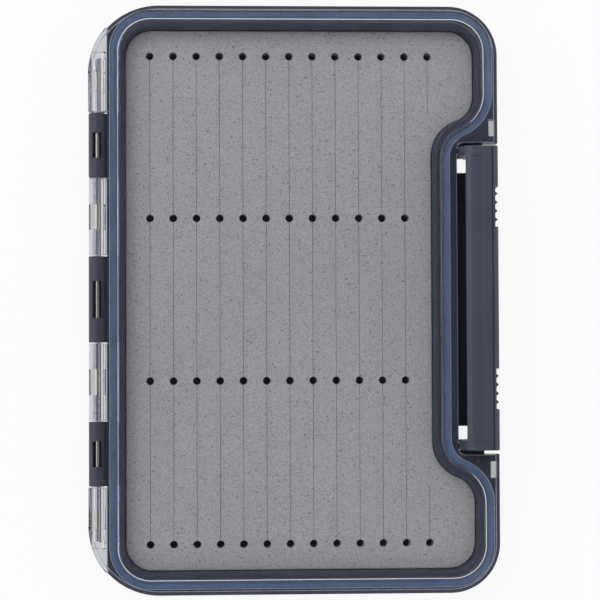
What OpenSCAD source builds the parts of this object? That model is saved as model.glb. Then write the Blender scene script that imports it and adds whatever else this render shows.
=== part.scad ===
// Slim waterproof fly box: opaque tray with a slit foam pad, clear hinged lid,
// silicone seal and one long side latch. Millimetres, +Z up, lid upwards.
// The hinge runs along Y on the -X side and the latch sits on the +X side.
// The origin is under the middle of the closed box, on its resting face.

/* [Case] */
// Overall length, along the hinge
case_l = 184; // [176:1:220]
// Overall width, from the hinge knuckles to the latch
case_w = 128.2; // [115:0.1:150]
// Overall height of the closed box
case_h = 22; // [19:0.5:30]
// Height of the tray's rim
tray_h = 13; // [12:0.5:16]
// Radius of the corners on the latch side and of the seal's corners
corner_r = 15.5; // [12:0.5:20]
// Radius of the outer corners on the hinge side
hinge_corner_r = 22; // [18:0.5:26]

/* [Tray] */
// Thickness of the tray's floor
floor_t = 1.8; // [1.2:0.1:3]
// Width of the rim's lip outside the seal groove
lip_w = 2.2; // [1.6:0.1:3]
// Width of that lip on the hinge side
hinge_lip_w = 0.5; // [0.4:0.1:1.2]
// Width of the seal groove
groove_w = 3.0; // [2.4:0.1:3.6]
// Depth of the seal groove
groove_depth = 2.6; // [2:0.1:3.2]
// Width of the rim's lip inside the seal groove
inner_lip_w = 1.9; // [1:0.1:2.4]
// Height of the rim, from its underside to its top
rim_h = 4.5; // [3.8:0.1:6]
// Thickness of the tray's side wall below the rim
wall_t = 2.2; // [1.4:0.1:3]
// Height of the foot under the tray
foot_h = 0.8; // [0.4:0.1:1.5]
// How far the foot stands in from the side wall
foot_inset = 0.8; // [0.4:0.1:2]
// Width of the coring slots beside the recess
core_w = 2.1; // [1:0.1:3]
// Length of the coring slots
core_l = 5.3; // [3:0.1:8]
// Wall left outside a coring slot
core_edge = 0.8; // [0.7:0.1:2]
// Distance from the recess to a coring slot
core_from = 2.2; // [1.5:0.1:4]

/* [Lid] */
// Thickness of the lid's top
lid_top_t = 1.8; // [1.2:0.1:3]
// Gap between the closed lid and the tray's rim
part_gap = 0.25; // [0.1:0.05:0.5]
// Side clearance of the lid's wall in the seal groove
tongue_fit = 0.2; // [0.1:0.05:0.4]
// Thickness of the lid's flange
flange_t = 2.0; // [1.4:0.1:3]
// How far the lid's flange stands in from the tray's edge
flange_inset = 1.35; // [0.6:0.05:2]
// Height of the bead along the flange's hinge-side corners
corner_bead_h = 1.2; // [0.6:0.1:2]
// Width of that bead
corner_bead_w = 1.3; // [0.8:0.1:2]
// Length of the ribs on the flange at the recess's ends
end_rib_l = 4.4; // [3:0.1:6]
// Width of those ribs
end_rib_w = 1.8; // [1:0.1:2.2]
// Height of those ribs
end_rib_h = 0.8; // [0.4:0.1:1.5]
// Distance from the flange's outer edge to the ribs
end_rib_edge = 1.5; // [1:0.1:2.5]
// Distance from the recess to the ribs
end_rib_from = 0.25; // [0.1:0.05:0.6]

/* [Seal and foam] */
// Height of the seal
seal_h = 1.5; // [1:0.1:2]
// Side clearance of the seal in its groove
seal_fit = 0.1; // [0.05:0.05:0.3]
// Gap between the seal and the lid's wall above it
seal_gap = 0.15; // [0.1:0.05:0.4]
// Thickness of the foam pad
foam_t = 6.35; // [3:0.05:7.5]
// Thickness of the adhesive sheet under the foam
adhesive_t = 0.2; // [0.1:0.05:0.5]
// Gap between the foam and the tray's wall
foam_gap = 0.15; // [0.1:0.05:0.5]
// Diameter of the relief holes in the foam
relief_d = 2.4; // [1.5:0.1:3.5]
// Distance between the columns of holes
column_pitch = 7.3; // [6:0.1:9]
// Number of rows of holes
rows = 4; // [2:1:6]
// Distance from the foam's ends to the outer rows
row_margin = 8.1; // [5:0.1:14]
// Distance from the foam's hinge-side edge to the first column
first_column = 7.7; // [5:0.1:10]
// Width of a slit
slit_w = 0.35; // [0.2:0.05:0.6]
// Depth of a slit
slit_depth = 4; // [1.5:0.1:4]
// Length of the short slits in the last column
short_slit_l = 17.8; // [10:0.1:22]

/* [Hinge] */
// Radius of the hinge knuckles
knuckle_r = 2.7; // [2.5:0.1:3.5]
// How far the hinge's axis lies below the tray's rim
hinge_drop = 0.4; // [0:0.1:1]
// Diameter of the hinge pin
hinge_pin_d = 2.2; // [1.6:0.1:2.6]
// Distance from the case's ends to the hinge pin's ends
pin_margin = 17; // [14:0.5:24]
// Running clearance around a pin
pin_fit = 0.05; // [0.02:0.01:0.1]
// Clearance of a pin in the tray that holds it
pin_seat = 0.02; // [0.01:0.01:0.05]
// Gap between a turning knuckle and the wall beside it
wall_gap = 0.3; // [0.2:0.05:0.6]
// Gap between neighbouring knuckles
knuckle_gap = 0.3; // [0.2:0.05:0.6]
// Half length of the tray's middle knuckle
mid_knuckle = 13.4; // [10:0.1:16]
// Half length of the window in the tray's middle knuckle
mid_window = 5.7; // [3:0.1:8]
// Length of the tray's outer knuckles
outer_knuckle_l = 20; // [14:0.1:26]
// Length of the lid's end knuckles, up to the pin's end
end_knuckle_l = 17; // [14:0.1:20]
// Length of the closed part at the root of an end knuckle
end_shell_l = 6.5; // [3:0.1:8]
// Length of the closed part over the pin's end
tip_cover = 3.7; // [2:0.1:6]
// Thickness of the wall past the pin's end
tip_wall = 2; // [1:0.1:3]
// Length of the window in each outer knuckle
outer_window_l = 7.9; // [4:0.1:10]
// Width of the windows over the pin
window_w = 2.7; // [2.4:0.1:3.2]

/* [Latch] */
// Gap between the latch's ends and the recess's ends
latch_end_gap = 1.5; // [0.8:0.1:3]
// How deep the recess reaches into the case
recess_w = 13.1; // [12:0.1:15]
// Width of the level rim between the recess and the seal's path
land_w = 0.2; // [0.1:0.1:1]
// Radius of the recess's inner corners
recess_r = 2.2; // [1:0.1:3]
// Radius of the seal's bend into the recess, at the tray's edge
cove_r = 4.5; // [3.5:0.1:6]
// Distance from the recess's ends to where the seal's path bends
cove_run = 3.8; // [3:0.1:8]
// Half length of the latch
latch_half = 47.3; // [42:0.1:53]
// Thickness of the latch's face and outer wall
latch_t = 1.8; // [1.4:0.1:2.4]
// Width of the gap between the lid's flange and the latch's face
latch_slot = 1.8; // [1.5:0.1:3.2]
// Thickness of the latch's end plates
end_plate_t = 3.1; // [2:0.1:4]
// Radius of the latch's outer top edge
latch_round = 1.6; // [1:0.1:2.5]
// How far the latch's outer wall leans inwards, from the pin to its top edge
latch_lean = 1; // [0.2:0.1:1.2]
// Radius of the end plates around the latch pin
boss_r = 3.8; // [3.2:0.1:4]
// Gap between the latch's boss and the resting face
boss_gap = 0.4; // [0.2:0.1:1]
// How far the latch's wall reaches below the pin
hem_h = 1.8; // [1:0.1:2.2]
// Diameter of the latch pin
latch_pin_d = 2; // [1.5:0.1:2.4]
// Radius of the tray's barrel around the latch pin
barrel_r = 2.3; // [1.8:0.1:2.6]
// Gap between the tray's barrel and the latch's end plates
barrel_gap = 4; // [1:0.1:8]
// Thickness of the web that carries the barrel
web_t = 2; // [1.5:0.1:3]
// Length of the catch lugs under the latch's hooks
lug_l = 1.9; // [1.4:0.1:2.1]
// Clearance between a hook and its lug
hook_gap = 0.2; // [0.1:0.05:0.4]
// Gap between a hook's tip and the lid's flange
hook_tip_gap = 0.4; // [0.2:0.1:0.8]
// Gap between a lug's end and the latch's end plate
lug_gap = 0.4; // [0.3:0.1:1]
// Height of the hooks
hook_h = 2; // [1.5:0.1:3]
// Radius of the snap bead under each hook
bead_r = 0.45; // [0.3:0.05:0.6]
// Distance from the face's inner edge to the finger dish
dish_edge = 1.2; // [0.8:0.1:2]
// Width of the finger dish along the latch's face
dish_w = 4.6; // [3:0.1:6]
// Depth of the finger dish
dish_depth = 0.3; // [0.1:0.05:0.6]
// Distance of the grips from the latch's middle
grip_y = 28.3; // [20:0.1:34]
// Length of each grip
grip_l = 12.6; // [8:0.1:16]
// Depth of each grip
grip_depth = 0.55; // [0.3:0.05:0.8]
// Number of ribs in each grip
grip_ribs = 4; // [2:1:5]
// Distance between the ribs of a grip
rib_pitch = 2.7; // [2:0.1:3.5]

/* [Hidden] */
$fn = 96;
eps = 0.01;

half_w = case_w / 2;
half_l = case_l / 2;

// Insets from the seal path's outer edge
groove_in = lip_w + groove_w;
pocket_in = groove_in + inner_lip_w;
body_in = pocket_in - wall_t;
lid_out = lip_w + tongue_fit;
lid_in = groove_in - tongue_fit;
foam_in = pocket_in + foam_gap;

// Heights
rim_z = tray_h - rim_h;
groove_z = tray_h - groove_depth;
flange_z = tray_h + part_gap;
flange_top = flange_z + flange_t;
tongue_z = groove_z + seal_h + seal_gap;
foam_z = floor_t + adhesive_t;
foam_top = foam_z + foam_t;

// Hinge, and where its knuckles lie along it
hinge_x = -half_w + knuckle_r;
hinge_z = tray_h - hinge_drop;
tray_left = hinge_x + knuckle_r + wall_gap;
path_left = tray_left + hinge_lip_w - lip_w;
pin_half = half_l - pin_margin;
outer_to = pin_half - end_knuckle_l;
outer_from = outer_to - outer_knuckle_l;
lid_from = mid_knuckle + knuckle_gap;
lid_to = outer_from - knuckle_gap;
end_from = outer_to + knuckle_gap;
pin_room = 0.3;

// Latch
recess_x = half_w - recess_w;
bend_x = recess_x - land_w;
latch_x = half_w - boss_r;
latch_z = boss_r + boss_gap;
face_x = recess_x + latch_slot;
hook_x = recess_x + hook_tip_gap;
hook_z = flange_top + hook_gap;
lug_x = recess_x + lug_l;
lug_y = latch_half - end_plate_t;
recess_half = latch_half + latch_end_gap;
cove_y = recess_half - cove_run;
barrel_half = lug_y - barrel_gap;
waist_x = lug_x + lug_gap;
round_x = half_w - latch_lean - latch_round;
round_z = case_h - latch_round;
snap_x = (hook_x + lug_x) / 2;
snap_z = flange_top + bead_r;
pin_end = 0.5;

// Foam
foam_left = path_left + foam_in;
foam_half = half_l - foam_in;
column_room = bend_x - foam_in - foam_left - first_column;
columns = floor(column_room / column_pitch) + 1;
row_pitch = 2 * (foam_half - row_margin) / (rows - 1);

tray_blue = [0.16, 0.18, 0.24];
latch_blue = [0.20, 0.22, 0.29];
seal_blue = [0.20, 0.34, 0.52];
foam_grey = [0.55, 0.55, 0.57];
clear = [0.85, 0.88, 0.92, 0.35];
steel = [0.70, 0.69, 0.67];

// ---------- outlines ----------

// Draws its children at +Y and mirrored at -Y
module both_ends() {
    children();
    mirror([0, 1, 0]) children();
}

module rounded_rect(x0, x1, half_y, r) {
    translate([x0 + r, -half_y]) square([x1 - x0 - 2 * r, 2 * half_y]);
    translate([x0, -half_y + r]) square([x1 - x0, 2 * half_y - 2 * r]);
    for (x = [x0 + r, x1 - r], y = [-half_y + r, half_y - r])
        translate([x, y]) circle(r = r);
}

// What the S-shaped bends and the straight behind the latch cut from the seal's path
module path_bite(inset) {
    x_edge = bend_x - inset;
    cove = [bend_x + cove_r, cove_y];
    dx = cove.x - (half_w - corner_r);
    bend = [half_w - corner_r, cove_y + sqrt(pow(corner_r + cove_r, 2) - dx * dx)];
    far = half_w + 5;
    translate([x_edge, -cove_y]) square([far - x_edge, 2 * cove_y]);
    both_ends() {
        translate(cove) circle(r = cove_r + inset);
        difference() {
            polygon([cove, bend, [far, bend.y], [far, cove.y]]);
            translate(bend) circle(r = corner_r - inset);
        }
    }
}

// The seal's path, a closed outline that all rim parts run parallel to
module path(inset) {
    difference() {
        rounded_rect(path_left + inset, half_w - inset, half_l - inset, corner_r - inset);
        path_bite(inset);
    }
}

module ring(outer, inner) {
    difference() {
        path(outer);
        path(inner);
    }
}

// The case's full outline, round at the hinge-side corners too
module case_outline(inset) {
    intersection() {
        rounded_rect(-half_w + inset, half_w - inset, half_l - inset, corner_r - inset);
        rounded_rect(-half_w + inset, half_w + case_w, half_l - inset, hinge_corner_r - inset);
    }
}

// The recess for the latch, with rounded inner corners
module recess(edge, half_y) {
    far = half_w + 5;
    translate([edge + recess_r, -half_y]) square([far - edge, 2 * half_y]);
    translate([edge, -half_y + recess_r]) square([far - edge, 2 * half_y - 2 * recess_r]);
    for (y = [-half_y + recess_r, half_y - recess_r])
        translate([edge + recess_r, y]) circle(r = recess_r);
}

// Two small blocks at the recess's edge, under the latch's hooks
module lugs() {
    both_ends() translate([recess_x - 1, lug_y]) square([lug_l + 1, end_plate_t]);
}

// Half planes, for cutting outlines
module right_of(x) {
    translate([x, -half_l]) square([case_w, case_l]);
}

module beyond(y) {
    both_ends() translate([-half_w, y]) square([case_w, half_l - y]);
}

// ---------- helpers ----------

module slab(z0, z1) {
    translate([0, 0, z0]) linear_extrude(height = z1 - z0) children();
}

// A round bar along Y
module bar_y(x, z, r, y0, y1) {
    translate([x, y0, z]) rotate([-90, 0, 0]) cylinder(h = y1 - y0, r = r);
}

module block(low, high) {
    translate(low) cube(high - low);
}

// ---------- hinge ----------

// Cuts that leave a knuckle's ends closed over the pin and its middle open above it
module knuckle_cuts(y0, y1, w0, w1) {
    half = window_w / 2;
    under = hinge_pin_d / 2;
    low = hinge_z - knuckle_r - 1;
    high = hinge_z + knuckle_r + 1;
    block([hinge_x - half, w0, hinge_z], [hinge_x + half, w1, high]);
    block([hinge_x - under, y0 - eps, low], [hinge_x + under, w0, hinge_z]);
    block([hinge_x - under, w1, low], [hinge_x + under, y1 + eps, hinge_z]);
}

// ---------- sub-parts ----------

module tray_knuckle(y0, y1, w0, w1) {
    difference() {
        union() {
            bar_y(hinge_x, hinge_z, knuckle_r, y0, y1);
            block([hinge_x, y0, hinge_z - knuckle_r], [tray_left + hinge_lip_w, y1, hinge_z]);
        }
        bar_y(hinge_x, hinge_z, hinge_pin_d / 2 + pin_seat, y0 - 1, y1 + 1);
        knuckle_cuts(y0, y1, w0, w1);
    }
}

module tray_knuckles() {
    window_y = (outer_from + outer_to - outer_window_l) / 2;
    tray_knuckle(-mid_knuckle, mid_knuckle, -mid_window, mid_window);
    both_ends() tray_knuckle(outer_from, outer_to, window_y, window_y + outer_window_l);
}

// Slots through the rim's corner blocks beside the recess
module coring() {
    both_ends() translate([half_w - core_edge - core_w, recess_half + core_from])
        square([core_w, core_l]);
}

// The web behind the latch, with the barrel that carries the latch's pin
module latch_bearing() {
    root_x = bend_x - body_in - wall_t / 2;
    difference() {
        union() {
            block([root_x, -barrel_half, latch_z - web_t / 2],
                [latch_x, barrel_half, latch_z + web_t / 2]);
            bar_y(latch_x, latch_z, barrel_r, -barrel_half, barrel_half);
        }
        bar_y(latch_x, latch_z, latch_pin_d / 2 + pin_seat, -barrel_half - 1, barrel_half + 1);
    }
}

module base_tray() {
    color(tray_blue) {
        difference() {
            union() {
                slab(0, foot_h) path(body_in + foot_inset);
                slab(foot_h, rim_z) path(body_in);
                slab(rim_z, tray_h) difference() {
                    intersection() {
                        case_outline(0);
                        right_of(tray_left);
                    }
                    difference() {
                        recess(recess_x, recess_half);
                        lugs();
                    }
                    coring();
                }
            }
            slab(floor_t, tray_h + 1) path(pocket_in);
            slab(groove_z, tray_h + 1) ring(lip_w, groove_in);
        }
        tray_knuckles();
        latch_bearing();
    }
}

function column_x(column) = foam_left + first_column + column * column_pitch;

module foam_holes() {
    for (column = [0 : columns - 1], row = [0 : rows - 1])
        if (column < columns - 1 || row == 0 || row == rows - 1)
            translate([column_x(column), (row - (rows - 1) / 2) * row_pitch])
                circle(d = relief_d);
}

module foam_adhesive() {
    color("Gainsboro") difference() {
        slab(floor_t, foam_z) path(foam_in + 1);
        slab(floor_t - 1, foam_z + 1) foam_holes();
    }
}

module foam_slits() {
    slit_end = (rows - 1) / 2 * row_pitch;
    for (column = [0 : columns - 2])
        translate([column_x(column) - slit_w / 2, -slit_end]) square([slit_w, 2 * slit_end]);
    both_ends() translate([column_x(columns - 1) - slit_w / 2, slit_end - short_slit_l])
        square([slit_w, short_slit_l]);
}

module foam_pad() {
    color(foam_grey) difference() {
        slab(foam_z, foam_top) path(foam_in);
        slab(foam_z - 1, foam_top + 1) foam_holes();
        slab(foam_top - slit_depth, foam_top + 1) foam_slits();
    }
}

module seal_gasket() {
    color(seal_blue) slab(groove_z, groove_z + seal_h)
        ring(lip_w + seal_fit, groove_in - seal_fit);
}

// The flange's plan: set back from the case's outline, but full at the hinge-side corners
module flange_plan() {
    difference() {
        union() {
            intersection() {
                case_outline(flange_inset);
                union() {
                    right_of(path_left + lid_out);
                    beyond(end_from);
                }
            }
            difference() {
                intersection() {
                    case_outline(0);
                    beyond(end_from);
                }
                right_of(tray_left);
            }
            both_ends() translate([hinge_x, lid_from])
                square([path_left + lid_in - hinge_x, lid_to - lid_from]);
        }
        difference() {
            recess(recess_x, recess_half);
            lugs();
        }
    }
}

module lid_knuckles() {
    both_ends() {
        bar_y(hinge_x, hinge_z, knuckle_r, lid_from, lid_to);
        intersection() {
            bar_y(hinge_x, hinge_z, knuckle_r, end_from, pin_half + pin_room + tip_wall);
            slab(0, case_h) case_outline(0);
        }
    }
}

// The lid's bores for the pin, with the windows over them and the slots under them
module lid_bores() {
    third = (lid_to - lid_from) / 3;
    both_ends() {
        bar_y(hinge_x, hinge_z, hinge_pin_d / 2 + pin_fit, lid_from - 1, lid_to + 1);
        bar_y(hinge_x, hinge_z, hinge_pin_d / 2 + pin_fit, end_from - 1, pin_half + pin_room);
        knuckle_cuts(lid_from, lid_to, lid_from + third, lid_to - third);
        knuckle_cuts(end_from, pin_half + pin_room, end_from + end_shell_l, pin_half - tip_cover);
    }
}

// A raised bead along the flange's round hinge-side corners
module corner_bead() {
    difference() {
        intersection() {
            case_outline(0);
            beyond(half_l - hinge_corner_r);
        }
        case_outline(corner_bead_w);
        right_of(tray_left);
    }
}

// A short rib on the flange at each end of the recess
module end_ribs() {
    both_ends() translate([half_w - flange_inset - end_rib_edge - end_rib_l,
        recess_half + end_rib_from]) square([end_rib_l, end_rib_w]);
}

module lid() {
    color(clear) difference() {
        union() {
            slab(flange_z, case_h) path(lid_out);
            slab(tongue_z, flange_z + eps) ring(lid_out, lid_in);
            slab(flange_z, flange_top) flange_plan();
            slab(flange_top - eps, flange_top + corner_bead_h) corner_bead();
            slab(flange_top - eps, flange_top + end_rib_h) end_ribs();
            lid_knuckles();
        }
        slab(tongue_z - 1, case_h - lid_top_t) path(lid_in);
        lid_bores();
        both_ends() bar_y(snap_x, snap_z, bead_r + hook_gap, lug_y - 1, latch_half);
    }
}

module hinge_pin() {
    color(steel) bar_y(hinge_x, hinge_z, hinge_pin_d / 2, -pin_half, pin_half);
}

module latch_pin() {
    y = latch_half - pin_end;
    color(steel) bar_y(latch_x, latch_z, latch_pin_d / 2, -y, y);
}

// Turns a section drawn in the XZ plane into a bar along Y
module in_xz(y0, y1) {
    translate([0, y1, 0]) rotate([90, 0, 0]) linear_extrude(height = y1 - y0) children();
}

// The two ends of the latch's straight outer side, touching the boss and the rounded edge
side_run = [round_x - latch_x, round_z - latch_z];
side_turn = atan2(side_run.y, side_run.x) - acos((boss_r - latch_round) / norm(side_run));
side_out = [cos(side_turn), sin(side_turn)];
side_low = [latch_x, latch_z] + boss_r * side_out;
side_high = [round_x, round_z] + latch_round * side_out;

// The latch's face, its outer wall and the rounded edge between them
module latch_section() {
    translate([face_x, case_h - latch_t]) square([round_x - face_x, latch_t]);
    translate([round_x, round_z]) circle(r = latch_round);
    polygon([side_low, side_high, side_high - [latch_t, 0], side_low - [latch_t, 0]]);
    intersection() {
        translate([latch_x, latch_z]) circle(r = boss_r);
        translate([side_low.x - latch_t, latch_z - hem_h])
            square([latch_t + 1, hem_h + side_low.y - latch_z]);
    }
}

// An end plate with its hook and its boss around the pin
module end_plate_section() {
    shoulder_r = case_h - hook_z - hook_h;
    shoulder = [hook_x + shoulder_r, hook_z + hook_h];
    polygon([
        [hook_x, hook_z], [hook_x, shoulder.y], shoulder, [shoulder.x, case_h],
        [round_x, case_h], [round_x, round_z], side_high, side_low, [latch_x, latch_z],
        [latch_x - boss_r, latch_z], [waist_x, rim_z], [waist_x, hook_z]
    ]);
    intersection() {
        translate(shoulder) circle(r = shoulder_r);
        translate([hook_x, shoulder.y]) square(shoulder_r);
    }
    translate([round_x, round_z]) circle(r = latch_round);
    translate([latch_x, latch_z]) circle(r = boss_r);
}

// A shallow pocket in the leaning wall, open at the top, with ribs left standing in it
module grip_cut() {
    x = half_w - grip_depth;
    slope = latch_lean / (round_z - latch_z);
    multmatrix([[1, 0, -slope, slope * latch_z], [0, 1, 0, 0], [0, 0, 1, 0]]) difference() {
        block([x, grip_y - grip_l / 2, latch_z + hem_h],
            [half_w + 3, grip_y + grip_l / 2, case_h + 1]);
        for (i = [0 : grip_ribs - 1])
            translate([x, grip_y + (i - (grip_ribs - 1) / 2) * rib_pitch, 0])
                rotate([0, 0, 45]) translate([-grip_depth, -grip_depth, 0])
                    cube([2 * grip_depth, 2 * grip_depth, 2 * case_h]);
    }
}

module latch() {
    dish_r = (dish_w * dish_w / 4 + dish_depth * dish_depth) / (2 * dish_depth);
    dish_x = face_x + dish_edge + dish_w / 2;
    color(latch_blue) difference() {
        union() {
            in_xz(-latch_half, latch_half) latch_section();
            both_ends() {
                in_xz(lug_y, latch_half) end_plate_section();
                bar_y(snap_x, snap_z, bead_r, lug_y, latch_half);
            }
        }
        bar_y(latch_x, latch_z, latch_pin_d / 2 + pin_fit, -latch_half - 1, latch_half + 1);
        bar_y(latch_x, latch_z, barrel_r + wall_gap, -lug_y, lug_y);
        bar_y(dish_x, case_h - dish_depth + dish_r, dish_r, -lug_y, lug_y);
        both_ends() grip_cut();
    }
}

base_tray();
foam_adhesive();
foam_pad();
seal_gasket();
lid();
hinge_pin();
latch();
latch_pin();
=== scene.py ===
"""Looks of a slim waterproof fly box: dark tray, slit foam, blue seal, clear lid, side latch.

Sizes are in millimetres and follow the part's source, and meshes are written in metres. The finer
forms and the bend of the seal and the lid's wall beside the latch are this file's own.
"""

import math

import bmesh
import bpy
from mathutils import Euler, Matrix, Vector
from mathutils.geometry import tessellate_polygon


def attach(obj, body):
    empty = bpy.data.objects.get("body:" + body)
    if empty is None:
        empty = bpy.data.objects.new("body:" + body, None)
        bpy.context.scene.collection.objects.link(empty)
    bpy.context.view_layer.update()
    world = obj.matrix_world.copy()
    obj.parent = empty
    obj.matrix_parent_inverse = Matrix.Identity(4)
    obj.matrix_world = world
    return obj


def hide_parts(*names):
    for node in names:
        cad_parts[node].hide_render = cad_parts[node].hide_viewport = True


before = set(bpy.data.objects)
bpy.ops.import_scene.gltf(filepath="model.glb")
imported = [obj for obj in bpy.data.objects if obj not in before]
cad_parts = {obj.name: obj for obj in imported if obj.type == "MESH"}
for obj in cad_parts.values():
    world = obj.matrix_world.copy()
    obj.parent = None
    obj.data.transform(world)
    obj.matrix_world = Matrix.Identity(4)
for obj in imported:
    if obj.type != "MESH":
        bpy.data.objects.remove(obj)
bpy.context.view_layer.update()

MM = 0.001

# Case
HALF_W, HALF_L, CASE_H, TRAY_H = 64.1, 92.0, 22.0, 13.0
CORNER_R, HINGE_CORNER_R = 15.5, 22.0
RECESS_X, RECESS_HALF, RECESS_R = 51.0, 48.8, 2.2
BEND_X, COVE_R, COVE_Y = 50.8, 4.5, 45.0
SEAL_BEND_R, SEAL_COVE_Y = 17.0, 43.6
TRAY_LEFT, PATH_LEFT, FLANGE_LEFT = -58.4, -60.1, -57.1
LUG_X, LUG_Y, LATCH_HALF = 52.9, 44.2, 47.3

# Insets from the walls' paths, and heights. The rim follows the seal up to SEAL_SIDE.
LIP, GROOVE_IN, POCKET_IN, BODY_IN, FOOT_IN = 2.2, 5.2, 7.1, 4.9, 5.7
LID_OUT, LID_IN, FOAM_IN, SEAL_SIDE = 2.4, 5.0, 7.25, 5.5
FLOOR_Z, FOOT_H, RIM_Z, GROOVE_Z = 1.8, 0.8, 8.5, 10.4
FLANGE_Z, FLANGE_TOP, TONGUE_Z, CEILING_Z = 13.25, 15.25, 12.05, 20.2
FLANGE_INSET, FLANGE_HOLE_IN, FLANGE_LUG_GAP = 1.35, 3.8, 0.8
FOAM_Z, FOAM_TOP = 2.0, 8.35

# Hinge
HINGE_X, HINGE_Z, KNUCKLE_R = -61.4, 12.6, 2.7
HINGE_PIN_R, PIN_HALF = 1.1, 75.0
MID_KNUCKLE, MID_WINDOW = 13.4, 5.7
LID_FROM, LID_TO = 13.7, 37.7
OUTER_FROM, OUTER_TO, OUTER_WINDOW = 38.0, 58.0, (44.05, 51.95)
END_FROM, END_TO, END_WINDOW = 58.3, 77.3, (64.8, 71.3)
WINDOW_HALF, PAST_KNUCKLE = 1.35, 1.0

# Latch
LATCH_X, LATCH_Z, LATCH_PIN_R = 60.3, 4.2, 1.0
FACE_X, HOOK_X, HOOK_Z, WAIST_X = 52.8, 51.4, 15.45, 53.3
LATCH_T, BOSS_R, BARREL_R, BARREL_HALF, SEAM_X = 1.8, 3.8, 2.3, 40.2, 61.16
ROUND_X, ROUND_Z, ROUND_R, HEM_Z = 61.5, 20.4, 1.6, 2.4
LEAN_ANGLE, SHOULDER_RISE, SNAP_R = 3.5, 2.0, 0.45
SEAM_HALF, SEAM_DEPTH, DISH_X, DISH_R, DISH_DEPTH = 0.22, 0.55, 56.5, 11.4, 0.3
GRIP_Y, GRIP_HALF, GRIP_DEPTH, GRIP_FOOT = 28.3, 6.3, 1.0, 3.6
RIB_PITCH, RIB_HALF, RIBS = 2.7, 0.95, 4

# Details of the tray and the lid, those in pairs given for the end at +Y
CORING_X, CORING_Y = (61.2, 63.3), (51.0, 56.3)
# The ledges are dark blocks in the gaps beside the latch's ends, put there as painted shade: they stand
# in for the shadowed floor seen through those gaps.
SHADE_LEDGE_X, SHADE_LEDGE_Y = (RECESS_X + 0.6, LATCH_X - 0.4), (LATCH_HALF + 0.35, RECESS_HALF + 0.7)
SHADE_LEDGE_DROP, WEB_X, WEB_HALF_T = 2.5, BEND_X - BODY_IN - 1.1, 1.0
LID_LEAN, LID_DRAFT, STEP_IN, STEP_H = 0.45, 0.22, 1.4, 0.12
BEAD_WIDTH, BEAD_RISE = 1.3, 1.2
END_RIB_X, END_RIB_Y, END_RIB_RISE = (56.85, 61.25), (49.05, 50.85), 0.8

# Foam
COLUMN_X, COLUMN_PITCH, COLUMNS = -45.15, 7.3, 13
ROW_END, ROW_PITCH, ROWS = 76.65, 51.1, 4
RELIEF_R, SLIT_BOTTOM, SHORT_SLIT = 1.2, 4.35, 17.8
HOLE_FLARE, SLIT_HALF, SLIT_FLARE = 0.14, 0.035, 0.1

CORNER_STEPS, BEND_STEPS, EDGE_STEPS = 24, 18, 20
SHARP = math.radians(38)
CRISP = 0.001


# ---------- outlines, in millimetres ----------


def arc(centre, radius, start, end, steps):
    """Points on an arc between two angles in degrees, both ends included."""
    angles = [math.radians(start + (end - start) * i / steps) for i in range(steps + 1)]
    return [(centre[0] + radius * math.cos(a), centre[1] + radius * math.sin(a)) for a in angles]


def both_ends(points):
    """An open run of points on the -Y half, followed by its mirror image at +Y."""
    return points + [(x, -y) for x, y in reversed(points)]


def wall_path(inset, bend_r, cove_y):
    """A closed path inside the case's outline, with a bend and a cove at each end of the recess."""
    cove = (BEND_X + COVE_R, -cove_y)
    run = cove[0] - (HALF_W - bend_r)
    bend = (HALF_W - bend_r, -cove_y - math.sqrt((bend_r + COVE_R) ** 2 - run**2))
    turn = math.degrees(math.atan2(cove[1] - bend[1], run))
    end = HALF_L - CORNER_R
    r = CORNER_R - inset
    return both_ends(
        arc((PATH_LEFT + CORNER_R, -end), r, 180, 270, CORNER_STEPS)
        + arc((HALF_W - CORNER_R, -end), r, 270, 360, CORNER_STEPS)
        + arc(bend, bend_r - inset, 0, turn, BEND_STEPS)
        + arc(cove, COVE_R + inset, 180 + turn, 180, BEND_STEPS)[1:]
    )


def seal_path(inset):
    """The path of the seal, the rim's groove and the lid's wall, drawn closer to the recess."""
    return wall_path(inset, SEAL_BEND_R, SEAL_COVE_Y)


def pocket_path(inset):
    """The path of the tray's pocket, its outer wall and the foam."""
    return wall_path(inset, CORNER_R, COVE_Y)


def tray_path(inset, z):
    """The tray's wall follows the seal in the rim, and the pocket elsewhere."""
    by_seal = z >= RIM_Z and inset <= SEAL_SIDE
    return seal_path(inset) if by_seal else pocket_path(inset)


def recess_edge(lug_y=LUG_Y):
    """The recess's edge at -Y, from the case's right side to its middle, with the catch lug."""
    corner = (RECESS_X + RECESS_R, -RECESS_HALF + RECESS_R)
    stop = 180 + math.degrees(math.asin((LATCH_HALF + corner[1]) / RECESS_R))
    return arc(corner, RECESS_R, 270, stop, 8) + [
        (LUG_X, -LATCH_HALF),
        (LUG_X, -lug_y),
        (RECESS_X, -lug_y),
    ]


def hinge_corner(inset):
    """Centre, radius and angle of the case's round hinge-side corner where it meets the tray."""
    centre = (-HALF_W + HINGE_CORNER_R, -HALF_L + HINGE_CORNER_R)
    radius = HINGE_CORNER_R - inset
    return centre, radius, 180 + math.degrees(math.acos((centre[0] - TRAY_LEFT) / radius))


def tray_outline():
    """The rim seen from above, with the recess for the latch."""
    centre, radius, start = hinge_corner(0)
    corner = (HALF_W - CORNER_R, -HALF_L + CORNER_R)
    return both_ends(
        arc(centre, radius, start, 270, CORNER_STEPS)
        + arc(corner, CORNER_R, 270, 360, CORNER_STEPS)
        + [(HALF_W, -RECESS_HALF)]
        + recess_edge()
    )


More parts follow.
